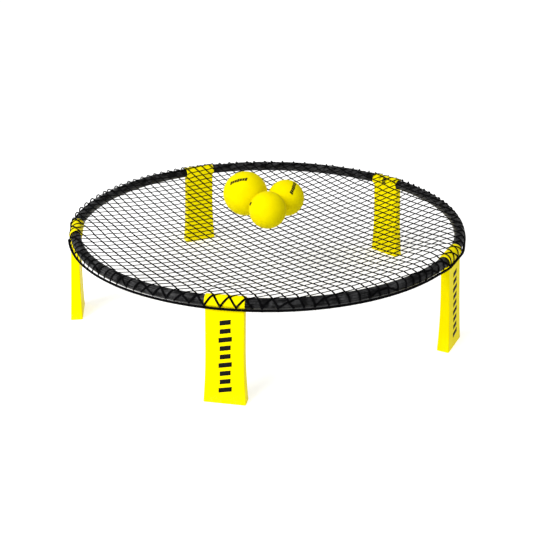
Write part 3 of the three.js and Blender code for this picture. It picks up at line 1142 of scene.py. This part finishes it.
def ball_print(name, centre, radius, material):
    """A short row of slanted bars on a ball's skin."""
    facing, along, length = BALL_PRINTS[name]
    facing = unit(np.asarray(facing, float))
    along = unit(np.asarray(along, float) - facing * np.dot(along, facing))
    other = np.cross(facing, along)

    def place(across, up, out):
        swing = up / radius
        tip = across / radius
        ahead = facing * math.cos(swing) * math.cos(tip)
        direction = unit(ahead + along * math.sin(swing) + other * math.sin(tip))
        return centre + direction * (radius + out)

    pitch = length / BALL_PRINT_BARS
    print_name = f"{name}_print"
    bars = {"count": BALL_PRINT_BARS, "width": 9 * MM, "slant": 0.35}
    bars |= {"height": pitch * BALL_PRINT_INK, "gap": pitch * (1 - BALL_PRINT_INK)}
    mesh = slanted_bars(place, print_name, BALL_PRINT_THICKNESS, **bars)
    shown(print_name, mesh, name, material)


# ---- studio ----

CAMERA_AZIMUTH = math.radians(10.36)
CAMERA_ELEVATION = math.radians(25.86)
CAMERA_DISTANCE = 2.0879
CAMERA_AIM = Vector((-0.0026, -0.0005, 0.0909))
CAMERA_LENS = 58.0  # mm
CAMERA_SENSOR = 36  # mm
WORLD_LIGHT = 0.5
KEY_DIRECTION = (-0.5, -0.75, 0.75)
KEY_DISTANCE = 3.2
KEY_SIZE = 1.8
KEY_POWER = 102
KEY_AIM = Vector((0, 0, 0.1))
FLOOR_REACH = 20
FLOOR_DROP = 0.2 * MM  # below the feet, so that no foot lies in the floor itself


def turned_towards(holder, direction, axis):
    """Turns an object so that one of its axes points in a direction."""
    holder.rotation_mode = "QUATERNION"
    holder.rotation_quaternion = direction.to_track_quat(axis, "Y")


def camera():
    """The photograph's own viewpoint."""
    data = bpy.data.cameras.new("camera")
    data.lens = CAMERA_LENS
    data.sensor_width = CAMERA_SENSOR
    level = math.cos(CAMERA_ELEVATION)
    eye = Vector(
        (
            math.sin(CAMERA_AZIMUTH) * level,
            -math.cos(CAMERA_AZIMUTH) * level,
            math.sin(CAMERA_ELEVATION),
        )
    )
    holder = linked("camera", data)
    holder.location = eye * CAMERA_DISTANCE
    turned_towards(holder, CAMERA_AIM - holder.location, "-Z")
    bpy.context.scene.camera = holder


def key_light():
    """A large square light from the front left."""
    data = bpy.data.lights.new("key", "AREA")
    data.size = KEY_SIZE
    data.energy = KEY_POWER
    holder = linked("key", data)
    toward = Vector(KEY_DIRECTION).normalized()
    holder.location = toward * KEY_DISTANCE + KEY_AIM
    turned_towards(holder, toward, "Z")


def white_world():
    """Surroundings that look white to the camera, and light the object more dimly."""
    world = bpy.data.worlds.new("studio")
    world.use_nodes = True
    nodes = world.node_tree.nodes
    background = nodes["Background"]
    background.inputs["Color"].default_value = (1, 1, 1, 1)
    rays = nodes.new("ShaderNodeLightPath")
    glow = nodes.new("ShaderNodeMapRange")
    glow.inputs["To Min"].default_value = WORLD_LIGHT
    world.node_tree.links.new(rays.outputs["Is Camera Ray"], glow.inputs["Value"])
    world.node_tree.links.new(glow.outputs[0], background.inputs["Strength"])
    bpy.context.scene.world = world


def paper_floor():
    """A wide level sheet just under the feet."""
    corners = [(-1, -1), (1, -1), (1, 1), (-1, 1)]
    mesh = bpy.data.meshes.new("floor")
    points = [(x * FLOOR_REACH, y * FLOOR_REACH, 0) for x, y in corners]
    mesh.from_pydata(points, [], [(0, 1, 2, 3)])
    mesh.materials.append(studio_floor())
    floor = linked("floor", mesh)
    floor.location.z = -FLOOR_DROP


def studio():
    """Soft light, white surroundings and a pale floor."""
    bpy.context.scene.view_settings.view_transform = "Standard"
    white_world()
    key_light()
    paper_floor()


# ---- the object ----


def ferrule_finish(index, material):
    """Puts a material on a ferrule, whose CAD shape is shown as it is."""
    sleeve = frame["nodes"][f"rim_ferrule_{index + 1}"]
    sleeve.data.materials.clear()
    sleeve.data.materials.append(material)


def build():
    """Makes every visible piece."""
    yellow = leg_plastic()
    black = rim_plastic()
    ferrule = ferrule_plastic()
    ink = print_ink()
    strands = braided_nylon("net_nylon", 1.3 * MM)
    cord = braided_nylon("cord_nylon", 1.8 * MM)
    rubber = ball_rubber()
    valve = valve_rubber()

    shape = leg_mesh()
    for index in range(LEG_COUNT):
        rim_tube(index, black)
        leg(index, shape, yellow)
        leg_print(index, ink)
        ferrule_finish(index, ferrule)
    collar_mark(MARKED_LEG, ink)

    hooks = net_hooks()
    net_strands("a", hooks, strands, ("net_field",))
    net_strands("b", hooks, strands, ("net_edge",))
    net_eyes(hooks, strands)
    perimeter_cord(cord)

    for name in BALL_PRINTS:
        centre, radius = ball_shape(name)
        axis = ball_axis(name, centre)
        ball_skin(name, centre, radius, axis, rubber)
        valve_plug(name, centre, radius, axis, valve)
        ball_print(name, centre, radius, ink)


build()
camera()
studio()
